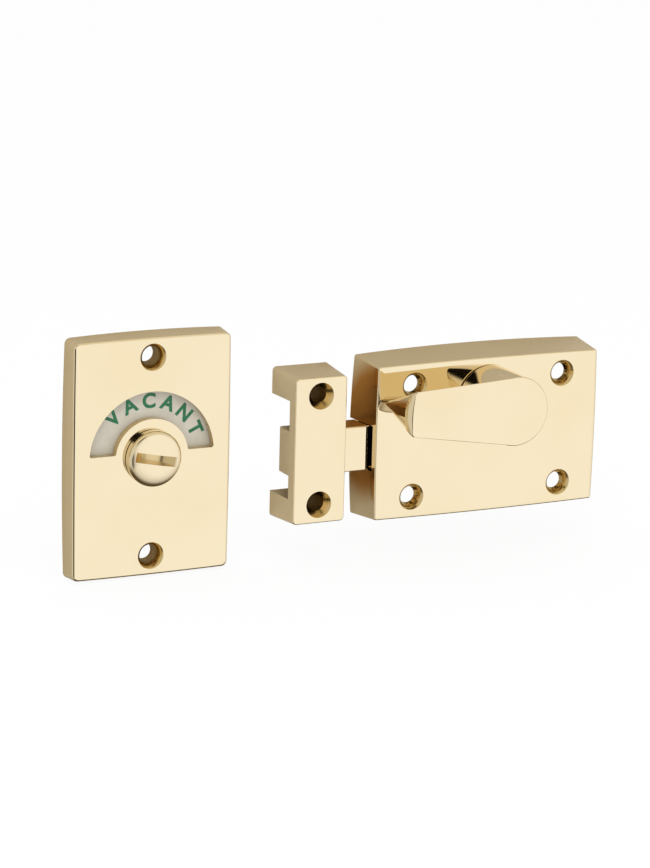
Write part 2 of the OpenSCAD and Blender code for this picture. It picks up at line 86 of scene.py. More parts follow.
# Places taken from the frame
CASE_LOW, CASE_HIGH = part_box("bolt_case")
KEEP_LOW, KEEP_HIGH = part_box("keep")
PLATE_LOW, PLATE_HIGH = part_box("indicator_plate")
BOLT_LOW, BOLT_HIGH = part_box("bolt")
TURN_LOW, TURN_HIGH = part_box("thumb_turn")
RELEASE_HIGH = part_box("release_turn")[1]
DISC_LOW, DISC_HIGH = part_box("indicator_disc")
CLIP_LOW, CLIP_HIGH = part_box("disc_clip")
PIN_LOW, PIN_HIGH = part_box("disc_stop_pin")
JOINTS = {joint["name"]: joint for joint in frame["joints"]}
TURN_AXIS = Vector(JOINTS["turn_spin"]["pos_m"])
PLATE_AXIS = Vector(JOINTS["indicator_spin"]["pos_m"])
MOUNTS = {mount["name"]: mount for mount in frame["record"]["mounts"]}

# Castings: rounding of polished front edges and of all other edges, the share of the swell left at the front,
# steps round a corner, cuts along a side, steps of a buffed front, and the screw sinks' radius and lip
FRONT_EDGE = 0.35 * MM
FINE_EDGE = 0.12 * MM
FRONT_SWELL = 0.3
CORNER_STEPS = 6
SIDE_CUTS = 11
BUFF_STEPS = 6
SINK_R = 3.98 * MM
SINK_LIP = 0.8 * MM

# Bolt case
CASE_CORNER_R = 0.6 * MM
CASE_DRAFT = 1.1 * MM
CASE_BOW = 1 * MM
CASE_BUFF = Vector((2.5, 0.25, 3)) * MM
CASE_WALL = 1.4 * MM
CASE_FACE = 3.5 * MM
CASE_SINK = 3.2 * MM
PILLAR_R = 2.6 * MM
PILLAR_X = 29 * MM
PILLAR_TOP = 8.4 * MM
PILLAR_LOW = -13.15 * MM
PILLAR_BACK = -1.5 * MM
TAPPING_R = 1.27 * MM
TAPPING_DEPTH = 8 * MM
RAIL_H = 3 * MM
SLIDE_GAP = 0.15 * MM
MOUTH_FACE = 2 * MM
BUSH_SEAT_R = 6.105 * MM

# Keep
KEEP_CORNER_R = 1.2 * MM
KEEP_DRAFT = 0.8 * MM
KEEP_WEB = 3.4 * MM
KEEP_FOOT = 7.9 * MM
KEEP_BOSS_R = 3.3 * MM
KEEP_SINK = 2.2 * MM

# Indicator plate
PLATE_CORNER_R = 1.6 * MM
PLATE_DRAFT = 0.4 * MM
PLATE_BOW = 0.6 * MM
PLATE_BUFF = Vector((0.55, 0.1, 0.15)) * MM
PLATE_RIM = 2.8 * MM
PLATE_FACE = 4.5 * MM
PLATE_SINK = 3.2 * MM
PLATE_BOSS_R = 4.2 * MM
WINDOW_R_OUT = 19.2 * MM
WINDOW_R_IN = 11.2 * MM
WINDOW_LIFT = 1.3 * MM
WINDOW_SKIN = 2.5 * MM
WINDOW_CORNER = 0.7 * MM
DISC_ROOM = 0.5 * MM
SHAFT_ROOM = 0.05 * MM

# Thumb turn: the tip rolls over in steps of these degrees, and less at its corners by the fade
TURN_R = 10.3 * MM
TURN_REACH = 35.5 * MM
TURN_TIP_H = 13.3 * MM
TURN_TIP_BOW = 1.3 * MM
TURN_TIP_CORNER = 0.8 * MM
TURN_ROLL_IN = 2 * MM
TURN_ROLL_DEPTH = 2.4 * MM
TURN_ROLL_STEPS = (8, 15, 22.5, 30, 45, 60, 75, 90)
TURN_ROLL_FADE = 0.6
TURN_SIDE_EDGE = 0.3 * MM
TURN_BACK_DEPTH = 14.4 * MM
TURN_BACK_SHARE = 0.16
TURN_RIDGE = ((15 * MM, 0.096), (15.5 * MM, 0.029))
TURN_TILT = math.radians(3)
TURN_BASE = -14.5 * MM
TURN_ARM_IN = 0.05 * MM
JOURNAL_R = 4.535 * MM
SPINDLE_SQUARE = 5.04 * MM
SOCKET_DEPTH = 16 * MM
GRUB_R = 1.52 * MM
GRUB_UP = 5 * MM

# Bolt
HEEL_X = -33.8 * MM
HEEL_H = 2 * MM
NOSE_R = 1 * MM
BOLT_EDGE = 0.35 * MM
RACK_MODULE = 1.2 * MM
RACK_PITCH = math.pi * RACK_MODULE
RACK_GAPS = 9
RACK_FIRST = -7
RACK_DEPTH = 2.25 * RACK_MODULE
RACK_ANGLE = math.radians(25)
POCKET = Vector((26, 5.3, 1.5)) * MM

# Release turn
RELEASE_R = 8.2 * MM
RELEASE_OUT = 2.8 * MM
RELEASE_GAP = 0.3 * MM
RELEASE_EDGE = 0.9 * MM
RELEASE_DOME = 1.1 * MM
RELEASE_RINGS = 9
SLOT_L = 11.8 * MM
SLOT_W = 2.9 * MM
SLOT_D = 2.2 * MM
LEAN = math.radians(11)
SHANK_R = 5.035 * MM
SHANK_FLAT = 0.6 * MM
SHANK_GROOVE = 0.5 * MM
GROOVE_ROOM = 0.02 * MM
RELEASE_SQUARE = 5.2 * MM
RELEASE_SOCKET = 3.4 * MM

# Brass: its colours, the sizes of its waves, hairlines and warm patches, and the height of its relief
BRASS_PALE = "#F8E8C6"
BRASS_WARM = "#F6E5BF"
BRASS_WAVE = 14 * MM
BRASS_HAIR = 0.6 * MM
HAIR_STRETCH = 10
WARM_PATCH = 20 * MM
BRASS_RELIEF = 0.015 * MM
# Drilled and milled places: a browner colour, painted shade for these hollows, their roughness, and the tool's
# feed, coarser than real so that its rings show
TOOLED_PAINTED_SHADE_COLOUR = "#DFC897"
TOOLED_ROUGHNESS = 0.16
TOOL_FEED = 0.5 * MM
# All finishes: strength of the bump, and how far the gloss of a mottled one goes up and down
BUMP_STRENGTH = 0.4
GLOSS_SPREAD = 0.06
# Length of one band of the Wave Texture at scale 1
WAVE_BAND = math.pi / 10
# Sockets of the Mix node that share a name: two numbers, two colours, and the colour that comes out
NUMBER_A = 2
NUMBER_B = 3
COLOUR_A = 6
COLOUR_B = 7
COLOUR_OUT = 2

# Words on the indicator disc: a capital's height and a stroke's thickening are shares of the font's size
WORD_R = 16.1 * MM
LETTER_STEP = {"VACANT": math.radians(21.8), "ENGAGED": math.radians(20)}
LETTER_H = 4.3 * MM
LETTER_CAP = 0.73
LETTER_BOLD = 0.036
LETTER_OUT = 0.04 * MM

# Camera and studio: lens and sensor in millimetres, floor in metres, lamp in watts
CAMERA_PLACE = Vector((-473.3, -875.8, 246.4)) * MM
CAMERA_AZIMUTH = math.radians(25.98)
CAMERA_DROP = math.radians(14.15)
CAMERA_ROLL = math.radians(1.51)
CAMERA_LENS = 141.84
CAMERA_SENSOR = 36
FLOOR_SIZE = 6
FLOOR_GLOW = 0.92
WHITE = "#FFFFFF"
PAPER_COLOUR = "#FAFAFA"
TENT_LIGHT = 0.85
# What the polished brass sees: direction, cosines where a card begins and is full, and its colour
ROOM_COLOUR = "#DAD6CD"
CARDS = (
    ((0, 1, 0), 0, 0.3, "#BAB2A2"),
    ((0, 0, 1), 0.35, 0.8, "#E0D6BC"),
    ((0, 0, -1), 0.33, 0.75, "#5A4E3A"),
    ((-0.18, -0.86, 0.47), 0.955, 0.985, "#14110D"),
    ((-0.15, -0.957, -0.245), 0.978, 0.995, "#14110D"),
    ((0.425, -0.893, -0.15), 0.82, 0.945, WHITE),
)
# Backing board that only the brass sees: grey, with a brown patch of painted shade behind the gap between keep
# and case, which is full from a share of the way in, and spots behind the screw holes
BOARD_LOW = Vector((-350, -0.2, -60)) * MM
BOARD_HIGH = Vector((250, -0.15, 250)) * MM
BOARD_COLOUR = "#C1BAAC"
SPOT_R = 5 * MM
PAINTED_GAP_SHADE_MIDDLE = Vector((-45, 0, 1)) * MM
PAINTED_GAP_SHADE_HALF = Vector((12, 100, 25)) * MM
PAINTED_GAP_SHADE_EDGE = 0.35
PAINTED_GAP_SHADE_COLOUR = "#A67B48"
LAMP_PLACE = Vector((-350, -700, 900)) * MM
LAMP_SIZE = 800 * MM
LAMP_POWER = 4


# Bench tools

def deselect():
    """Leaves edit mode and selects nothing."""
    if bpy.context.mode != "OBJECT":
        bpy.ops.object.mode_set(mode="OBJECT")
    bpy.ops.object.select_all(action="DESELECT")


def take(piece):
    """Makes a piece the only one selected, and the active one."""
    deselect()
    piece.select_set(True)
    bpy.context.view_layer.objects.active = piece


def named(name):
    """Names the primitive just added and puts its place, turn and scale into its mesh."""
    piece = bpy.context.active_object
    piece.name = name
    bpy.ops.object.transform_apply(location=True, rotation=True, scale=True)
    return piece


def block(name, low, high):
    """Cube between two corners."""
    deselect()
    bpy.ops.mesh.primitive_cube_add(size=1, location=(low + high) / 2, scale=high - low)
    return named(name)


def rod(name, radius, start, end, sides=64):
    """Cylinder between two points on its axis."""
    deselect()
    along = end - start
    bpy.ops.mesh.primitive_cylinder_add(
        vertices=sides, radius=radius, depth=along.length, location=(start + end) / 2,
        rotation=along.to_track_quat("Z", "Y").to_euler())
    return named(name)


def hoop(name, radius, centre, sides, fill="NOTHING"):
    """Circle that faces the front, filled or open."""
    deselect()
    bpy.ops.mesh.primitive_circle_add(
        vertices=sides, radius=radius, fill_type=fill, location=centre, rotation=(math.pi / 2, 0, 0))
    return named(name)


def at_y(place, y):
    """The same place at another depth."""
    return Vector((place.x, y, place.z))


def pick(piece, kind, test=lambda part: True):
    """Opens a piece for editing with the verts, edges or faces selected that pass a test."""
    take(piece)
    bpy.ops.object.mode_set(mode="EDIT")
    bpy.ops.mesh.select_mode(type=kind)
    bpy.ops.mesh.select_all(action="DESELECT")
    mesh = bmesh.from_edit_mesh(piece.data)
    mesh.normal_update()
    for part in {"VERT": mesh.verts, "EDGE": mesh.edges, "FACE": mesh.faces}[kind]:
        if test(part):
            part.select_set(True)
    bmesh.update_edit_mesh(piece.data)


def edge_at_y(y):
    """Test for edges that lie in the plane at this y."""
    return lambda edge: all(abs(vert.co.y - y) < TOUCH for vert in edge.verts)


def edge_along(axis):
    """Test for edges that run mainly along one axis: 0, 1 or 2."""
    return lambda edge: abs((edge.verts[1].co - edge.verts[0].co)[axis]) > ALONG * edge.calc_length()


def facing(direction):
    """Test for faces that look this way."""
    return lambda face: face.normal.dot(Vector(direction)) > FACING


def push(move):
    """Extrudes what is selected by a move."""
    bpy.ops.mesh.extrude_region_move(TRANSFORM_OT_translate={"value": move})


def outward(piece):
    """Turns all faces of a closed piece outwards."""
    pick(piece, "FACE")
    bpy.ops.mesh.normals_make_consistent(inside=False)
    deselect()


def modify(piece, kind, **settings):
    """Adds a modifier and applies it."""
    take(piece)
    modifier = piece.modifiers.new(kind.lower(), kind)
    for key, value in settings.items():
        setattr(modifier, key, value)
    bpy.ops.object.modifier_apply(modifier=modifier.name)


def combine(piece, tool, operation="DIFFERENCE"):
    """Cuts a tool out of a piece, or joins it on, and throws the tool away."""
    modify(piece, "BOOLEAN", object=tool, operation=operation, solver="EXACT")
    bpy.data.objects.remove(tool)


def turn_about(piece, centre, angle):
    """Turns a piece about the line out of the door through a centre, anticlockwise from the front."""
    to_centre = Matrix.Translation(centre)
    piece.data.transform(to_centre @ Matrix.Rotation(-angle, 4, "Y") @ to_centre.inverted())


def break_edges(piece, width, segments=2, limit=35):
    """Rounds every edge that is sharper than the limit, merges what has no size then and closes slits."""
    modify(piece, "BEVEL", width=width, segments=segments, limit_method="ANGLE",
           angle_limit=math.radians(limit), loop_slide=False)
    pick(piece, "VERT")
    bpy.ops.mesh.remove_doubles(threshold=TOUCH)
    bpy.ops.mesh.fill_holes(sides=4)
    deselect()


def polish(piece, angle=32):
    """Smooth shading that keeps flat faces truly flat, as a mirror finish needs."""
    take(piece)
    bpy.ops.object.shade_smooth_by_angle(angle=math.radians(angle))
    modify(piece, "WEIGHTED_NORMAL", keep_sharp=True, weight=100)


def fit(piece, body, slot, material, *stood_for):
    """Gives a finished piece its material and its body, and hides the CAD nodes that it stands for."""
    piece.data.materials.clear()
    piece.data.materials.append(material)
    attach(piece, body)
    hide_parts(*stood_for)


# Materials

def linear(colour):
    """sRGB hex colour as linear red, green, blue and alpha."""
    parts = [int(colour[i:i + 2], 16) / 255 for i in (1, 3, 5)]
    return [c / 12.92 if c <= 0.04045 else ((c + 0.055) / 1.055) ** 2.4 for c in parts] + [1]


def add_node(tree, kind, settings, inputs):
    """Adds a node; an input, found by name or number, is set to a value or linked to an output."""
    node = tree.nodes.new(kind)
    for key, value in settings.items():
        setattr(node, key, value)
    for key, value in inputs.items():
        if isinstance(value, bpy.types.NodeSocket):
            tree.links.new(value, node.inputs[key])
        else:
            node.inputs[key].default_value = value
    return node


def new_material(name):
    """Material with its node tree, its shader and the object's own coordinates in metres."""
    material = bpy.data.materials.new(name)
    material.use_nodes = True
    tree = material.node_tree
    where = add_node(tree, "ShaderNodeTexCoord", {}, {}).outputs["Object"]
    return material, tree, tree.nodes["Principled BSDF"], where


def brass_finish(name, clearest, dullest):
    """Brass with slight waves, faint hairlines and warm patches, its roughness between the two given.

    Where a hole was drilled or a slot milled, it is duller and shows the rings of the tool, and it is browner:
    painted shade for the hollow.
    """
    material, tree, shader, where = new_material(name)
    tooled_and_shaded = add_node(tree, "ShaderNodeAttribute", {"attribute_name": "machined_and_shaded"}, {}).outputs["Fac"]
    waves = add_node(tree, "ShaderNodeTexNoise", {}, {"Vector": where, "Scale": 1 / BRASS_WAVE, "Detail": 1})
    along = add_node(tree, "ShaderNodeMapping", {}, {"Vector": where, "Scale": (1 / HAIR_STRETCH, 1, 1)})
    hairs = add_node(tree, "ShaderNodeTexNoise", {},
                     {"Vector": along.outputs[0], "Scale": 1 / BRASS_HAIR, "Detail": 2})
    patches = add_node(tree, "ShaderNodeTexNoise", {},
                       {"Vector": where, "Scale": 1 / WARM_PATCH, "Detail": 3})
    warmth = add_node(tree, "ShaderNodeMapRange", {},
                      {"Value": patches.outputs[0], "From Min": 0.4, "From Max": 0.75})
    colour = add_node(tree, "ShaderNodeMix", {"data_type": "RGBA"},
                      {"Factor": warmth.outputs[0],
                       COLOUR_A: linear(BRASS_PALE), COLOUR_B: linear(BRASS_WARM)})
    mopped = add_node(tree, "ShaderNodeMapRange", {},
                      {"Value": hairs.outputs[0], "From Min": 0.3, "From Max": 0.7,
                       "To Min": clearest, "To Max": dullest})
    rough = add_node(tree, "ShaderNodeMix", {},
                     {"Factor": tooled_and_shaded, NUMBER_A: mopped.outputs[0], NUMBER_B: TOOLED_ROUGHNESS})
    rings = add_node(tree, "ShaderNodeTexWave", {"bands_direction": "Y"},
                     {"Vector": where, "Scale": WAVE_BAND / TOOL_FEED, "Distortion": 1, "Detail": 1})
    height = add_node(tree, "ShaderNodeMix", {},
                      {"Factor": tooled_and_shaded, NUMBER_A: waves.outputs[0], NUMBER_B: rings.outputs["Fac"]})
    bump = add_node(tree, "ShaderNodeBump", {},
                    {"Height": height.outputs[0], "Strength": BUMP_STRENGTH, "Distance": BRASS_RELIEF})
    # Painted shade: drilled and milled hollows take a browner colour where shade falls in them
    shaded_hollows = add_node(tree, "ShaderNodeMix", {"data_type": "RGBA"},
                       {"Factor": tooled_and_shaded,
                        COLOUR_A: colour.outputs[COLOUR_OUT], COLOUR_B: linear(TOOLED_PAINTED_SHADE_COLOUR)})
    shader.inputs["Metallic"].default_value = 1
    tree.links.new(shaded_hollows.outputs[COLOUR_OUT], shader.inputs["Base Color"])
    tree.links.new(rough.outputs[0], shader.inputs["Roughness"])
    tree.links.new(bump.outputs[0], shader.inputs["Normal"])
    return material


def mottled(name, pale, dark, metallic, roughness, grain, depth):
    """Finish with a fine mottle in its colour, its gloss and its surface; grain and depth in metres."""
    material, tree, shader, where = new_material(name)
    mottle = add_node(tree, "ShaderNodeTexNoise", {}, {"Vector": where, "Scale": 1 / grain, "Detail": 3})
    shade = add_node(tree, "ShaderNodeMapRange", {},
                     {"Value": mottle.outputs[0], "From Min": 0.35, "From Max": 0.65})
    colour = add_node(tree, "ShaderNodeMix", {"data_type": "RGBA"},
                      {"Factor": shade.outputs[0], COLOUR_A: linear(pale), COLOUR_B: linear(dark)})
    rough = add_node(tree, "ShaderNodeMapRange", {},
                     {"Value": mottle.outputs[0], "From Min": 0.3, "From Max": 0.7,
                      "To Min": roughness - GLOSS_SPREAD, "To Max": roughness + GLOSS_SPREAD})
    bump = add_node(tree, "ShaderNodeBump", {},
                    {"Height": mottle.outputs[0], "Strength": BUMP_STRENGTH, "Distance": depth})
    shader.inputs["Metallic"].default_value = metallic
    tree.links.new(colour.outputs[COLOUR_OUT], shader.inputs["Base Color"])
    tree.links.new(rough.outputs[0], shader.inputs["Roughness"])
    tree.links.new(bump.outputs[0], shader.inputs["Normal"])
    return material


# Cast brass polished on a mop: a warm, clear mirror, slightly wavy; its hairlines are drawn coarser than real
# ones, so that they show
brass = brass_finish("mop_polished_cast_brass", clearest=0.02, dullest=0.04)
# Brass turned and brushed on the lathe: the same metal with its reflections blurred to a satin glow
satin_brass = brass_finish("satin_turned_brass", clearest=0.09, dullest=0.14)
# Bright zinc over turned or drawn steel: a cool soft shine, its crystal grain drawn coarser so that it shows
zinc_steel = mottled("bright_zinc_plated_steel", "#C8CBCF", "#BEC2C7", metallic=1, roughness=0.26,
                     grain=0.7 * MM, depth=0.002 * MM)
# Spring strip blued in the oven: dark, slightly patchy grey-blue
spring_steel = mottled("blued_spring_steel", "#737984", "#555B68", metallic=1, roughness=0.32,
                       grain=2 * MM, depth=0.005 * MM)
# Moulded nylon: waxy off-white with a soft sheen
nylon = mottled("moulded_nylon", "#EBE9DE", "#E0DDCF", metallic=0, roughness=0.45,
                grain=1.5 * MM, depth=0.01 * MM)
# Stove enamel on brass: warm grey-white, satin, with a slight orange peel
enamel = mottled("stoved_enamel", "#D5CFC0", "#CEC8B8", metallic=0, roughness=0.35,
                 grain=2.5 * MM, depth=0.012 * MM)
# Paint run into the letters: a strong colour, thicker and thinner in places
green_paint = mottled("green_filling_paint", "#19663F", "#278055", metallic=0, roughness=0.4,
                      grain=0.9 * MM, depth=0.02 * MM)
red_paint = mottled("red_filling_paint", "#A8241C", "#C03C2C", metallic=0, roughness=0.4,
                    grain=0.9 * MM, depth=0.02 * MM)


# Castings

def cast_block(name, low, high, draft, bow, corner, edge, buff=Vector()):
    """Cube with its front drawn in, its corners rounded, its sides swollen and its front edge eased.

    The buff's x and z say how far in from the sides the polished front rolls over, its y how far it falls.
    """
    slim = Vector((bow, 0, bow))
    rim_y = low.y + buff.y
    rim_low = at_y(low, rim_y)
    piece = block(name, rim_low + slim, high - slim)
    middle = (rim_low + high) / 2
    half = (high - rim_low) / 2 - slim
    pick(piece, "FACE", facing((0, -1, 0)))
    bpy.ops.transform.resize(value=(1 - draft / half.x, 1, 1 - draft / half.z), center_override=middle)
    pick(piece, "EDGE", edge_along(1))
    bpy.ops.mesh.bevel(offset=corner, segments=CORNER_STEPS)
    if bow:
        swell(piece, middle, half, draft, bow, corner)
    if edge:
        pick(piece, "EDGE", edge_at_y(rim_y))
        bpy.ops.mesh.bevel(offset=edge, segments=EDGE_STEPS)
    if buff.y:
        roll_over(piece, middle, half - Vector((draft, 0, draft)), buff, rim_y)
    deselect()
    return piece


def roll_over(piece, middle, half, buff, rim_y):
    """Raises the front in steps from its rim to the flat, as a polishing mop leaves it."""
    pick(piece, "FACE", lambda face: abs(face.calc_center_median().y - rim_y) < TOUCH)
    fall = buff.y
    size = half.copy()
    for step in range(1, BUFF_STEPS + 1):
        left = 1 - step / BUFF_STEPS
        inner = Vector((half.x - buff.x * (1 - left), 0, half.z - buff.z * (1 - left)))
        push((0, buff.y * left ** 2 - fall, 0))
        bpy.ops.transform.resize(value=(inner.x / size.x, 1, inner.z / size.z), center_override=middle)
        fall = buff.y * left ** 2
        size = inner


def swell(piece, middle, half, draft, bow, corner):
    """Divides the four sides and pushes them out between their corners, less towards the front."""
    pick(piece, "EDGE", lambda edge: edge.calc_length() > 2 * corner and not edge_along(1)(edge))
    bpy.ops.mesh.subdivide(number_cuts=SIDE_CUTS)
    deselect()
    for vertex in piece.data.vertices:
        away = vertex.co - middle
        forward = (half.y - away.y) / (2 * half.y)
        across = away.x / (half.x - draft * forward)
        up = away.z / (half.z - draft * forward)
        out = bow * (1 - (1 - FRONT_SWELL) * forward)
        vertex.co.x += out * across * (1 - up ** 2)
        vertex.co.z += out * up * (1 - across ** 2)


def hollow(piece, low, high, wall, front, draft, corner):
    """Cuts a cast hollow into a piece from behind, as deep as the front plane given."""
    inset = Vector((wall, 0, wall))
    core = cast_block("core", at_y(low + inset, front), at_y(high - inset, PAST), draft, 0, corner, 0)
    combine(piece, core)


def screw_cutter(place, radius, front, depth, lip):
    """Tool for one countersunk hole: a rod whose front end flares out, and more so in a lip at the face."""
    tool = rod("screw_cutter", radius, at_y(place, PAST), at_y(place, front + depth), BORE_SIDES)
    pick(tool, "FACE", facing((0, -1, 0)))
    throat = SINK_R - lip
    for step, flare in ((lip - depth, throat / radius), (-lip - PAST, (SINK_R + PAST) / throat)):
        push((0, step, 0))
        bpy.ops.transform.resize(value=(flare, 1, flare), center_override=place)
    deselect()
    return tool


def screw_places(mount_name):
    """Places of the holes of one of the record's screw mounts."""
    mount = MOUNTS[mount_name]
    half_x = mount["dims"].get("spacing_x_mm", 0) * MM / 2
    half_z = mount["dims"].get("spacing_y_mm", 0) * MM / 2
    return [Vector(mount["pos_m"]) + Vector((x, 0, z))
            for x in sorted({-half_x, half_x}) for z in sorted({-half_z, half_z})]


def drill(piece, mount_name, front, depth, lip=SINK_LIP):
    """Cuts the countersunk holes of one of the record's screw mounts, with sinks of the depth given."""
    radius = MOUNTS[mount_name]["dims"]["hole_r_mm"] * MM
    for place in screw_places(mount_name):
        combine(piece, screw_cutter(place, radius, front, depth, lip))


def machined_and_shaded(piece, places, radius, behind=math.inf):
    """Marks the walls in drilled or milled places, and all faces behind a level, as keeping tool marks and painted
    shade.
    """
    attributes = piece.data.attributes
    marks = attributes.get("machined_and_shaded") or attributes.new("machined_and_shaded", "FLOAT", "FACE")
    for face in piece.data.polygons:
        near = any((at_y(face.center, 0) - at_y(place, 0)).length < radius for place in places)
        if near and (face.normal.y > -FRONT_FLAT or face.center.y > behind):
            marks.data[face.index].value = 1


def ring_tool(name, outer, inner, centre, start, end):
    """Flat ring drawn out along Y: a circle with its face inset, its middle deleted and the rest extruded."""
    tool = hoop(name, outer, at_y(centre, start), FINE_SIDES, "NGON")
    pick(tool, "FACE")
    bpy.ops.mesh.inset(thickness=outer - inner)
    bpy.ops.mesh.delete(type="FACE")
    pick(tool, "FACE")
    push((0, end - start, 0))
    outward(tool)
    return tool


def case_casting():
    """Hollow case with the bolt's rail and mouth, four tapped pillars, the bush's seat and screw holes."""
    piece = cast_block("case_casting", CASE_LOW, CASE_HIGH, CASE_DRAFT, CASE_BOW, CASE_CORNER_R, FRONT_EDGE,
                       CASE_BUFF)
    inside = CASE_LOW.y + CASE_FACE
    hollow(piece, CASE_LOW, CASE_HIGH, CASE_BOW + CASE_WALL, inside, CASE_DRAFT, CASE_CORNER_R)
    reach = CASE_HIGH.x - CASE_WALL - CASE_DRAFT
    rail_top = BOLT_LOW.z - SLIDE_GAP
    rail = block("rail", Vector((-reach, inside - PAST, rail_top - RAIL_H)),
                 Vector((reach, BOLT_HIGH.y, rail_top)))
    combine(piece, rail, "UNION")
    pillars = [Vector((x, 0, z)) for x in (-PILLAR_X, PILLAR_X) for z in (PILLAR_TOP, PILLAR_LOW)]
    for place in pillars:
        pillar = rod("pillar", PILLAR_R, at_y(place, inside - PAST), at_y(place, PILLAR_BACK), SMALL_SIDES)
        combine(piece, pillar, "UNION")
    for place in pillars:
        combine(piece, rod("tapping", TAPPING_R, at_y(place, -TAPPING_DEPTH), place, HOLE_SIDES))
    bolt_bottom = BOLT_LOW.z + HEEL_H
    mouth = block("mouth", Vector((CASE_LOW.x - PAST, CASE_LOW.y + MOUTH_FACE, bolt_bottom - SLIDE_GAP)),
                  Vector((HEEL_X + PAST, PAST, BOLT_HIGH.z + SLIDE_GAP)))
    combine(piece, mouth)
    combine(piece, rod("bush_seat", BUSH_SEAT_R, at_y(TURN_AXIS, CASE_LOW.y - PAST), at_y(TURN_AXIS, PAST),
                       BORE_SIDES))
    drill(piece, "case_screws", CASE_LOW.y, CASE_SINK)
    break_edges(piece, FINE_EDGE)
    polish(piece)
    machined_and_shaded(piece, screw_places("case_screws"), SINK_R)
    fit(piece, "fixed_castings", "polished_brass", brass, "bolt_case")


def keep_casting():
    """Bridge on two feet that the bolt shoots under, with a screw hole in each foot."""
    piece = cast_block("keep_casting", KEEP_LOW, KEEP_HIGH, KEEP_DRAFT, 0, KEEP_CORNER_R, FRONT_EDGE)
    channel = block("channel", Vector((KEEP_LOW.x - PAST, KEEP_LOW.y + KEEP_WEB, KEEP_LOW.z + KEEP_FOOT)),
                    Vector((KEEP_HIGH.x + PAST, PAST, KEEP_HIGH.z - KEEP_FOOT)))
    combine(piece, channel)
    for place in screw_places("keep_screws"):
        start = at_y(place, KEEP_LOW.y + KEEP_WEB - PAST)
        combine(piece, rod("screw_boss", KEEP_BOSS_R, start, at_y(place, KEEP_HIGH.y)), "UNION")
    drill(piece, "keep_screws", KEEP_LOW.y, KEEP_SINK, lip=0)
    break_edges(piece, 2 * FINE_EDGE)
    polish(piece)
    machined_and_shaded(piece, screw_places("keep_screws"), SINK_R)
    fit(piece, "fixed_castings", "polished_brass", brass, "keep")


def window_tool():
    """Half ring for the window, cut off level above the axis, with its lower corners eased."""
    tool = ring_tool("window", WINDOW_R_OUT, WINDOW_R_IN, PLATE_AXIS, PLATE_LOW.y - PAST, PAST)
    level = PLATE_AXIS.z + WINDOW_LIFT
    pick(tool, "FACE")
    bpy.ops.mesh.bisect(plane_co=(0, 0, level), plane_no=(0, 0, 1), use_fill=True, clear_inner=True)
    pick(tool, "EDGE", lambda edge: edge_along(1)(edge) and abs(edge.verts[0].co.z - level) < TOUCH)
    bpy.ops.mesh.bevel(offset=WINDOW_CORNER, segments=EDGE_STEPS)
    deselect()
    return tool


def plate_casting():
    """Hollow plate with the disc's recess, the window, the shank's bore, the pin's seat and screw holes."""
    piece = cast_block("plate_casting", PLATE_LOW, PLATE_HIGH, PLATE_DRAFT, PLATE_BOW, PLATE_CORNER_R,
                       FRONT_EDGE, PLATE_BUFF)
    hollow(piece, PLATE_LOW, PLATE_HIGH, PLATE_BOW + PLATE_RIM, PLATE_LOW.y + PLATE_FACE, PLATE_DRAFT,
           PLATE_CORNER_R)
    recess_r = (DISC_HIGH.x - DISC_LOW.x) / 2 + DISC_ROOM
    recess_y = PLATE_LOW.y + WINDOW_SKIN
    combine(piece, rod("recess", recess_r, at_y(PLATE_AXIS, recess_y), at_y(PLATE_AXIS, PAST), FINE_SIDES))
    combine(piece, window_tool())
    for place in screw_places("plate_screws"):
        start = at_y(place, PLATE_LOW.y + PLATE_FACE - PAST)
        combine(piece, rod("screw_boss", PLATE_BOSS_R, start, at_y(place, PLATE_HIGH.y)), "UNION")
    combine(piece, rod("shank_bore", SHANK_R + SHAFT_ROOM, at_y(PLATE_AXIS, PLATE_LOW.y - PAST),
                       at_y(PLATE_AXIS, PAST), BORE_SIDES))
    pin = (PIN_LOW + PIN_HIGH) / 2
    pin_r = (PIN_HIGH.x - PIN_LOW.x) / 2
    combine(piece, rod("pin_seat", pin_r, at_y(pin, PIN_LOW.y), at_y(pin, PAST), HOLE_SIDES))
    drill(piece, "plate_screws", PLATE_LOW.y, PLATE_SINK)
    break_edges(piece, FINE_EDGE)
    polish(piece)
    machined_and_shaded(piece, screw_places("plate_screws"), SINK_R)
    machined_and_shaded(piece, [PLATE_AXIS], WINDOW_R_OUT + TOUCH)
    fit(piece, "fixed_castings", "polished_brass", brass, "indicator_plate")


# Thumb turn

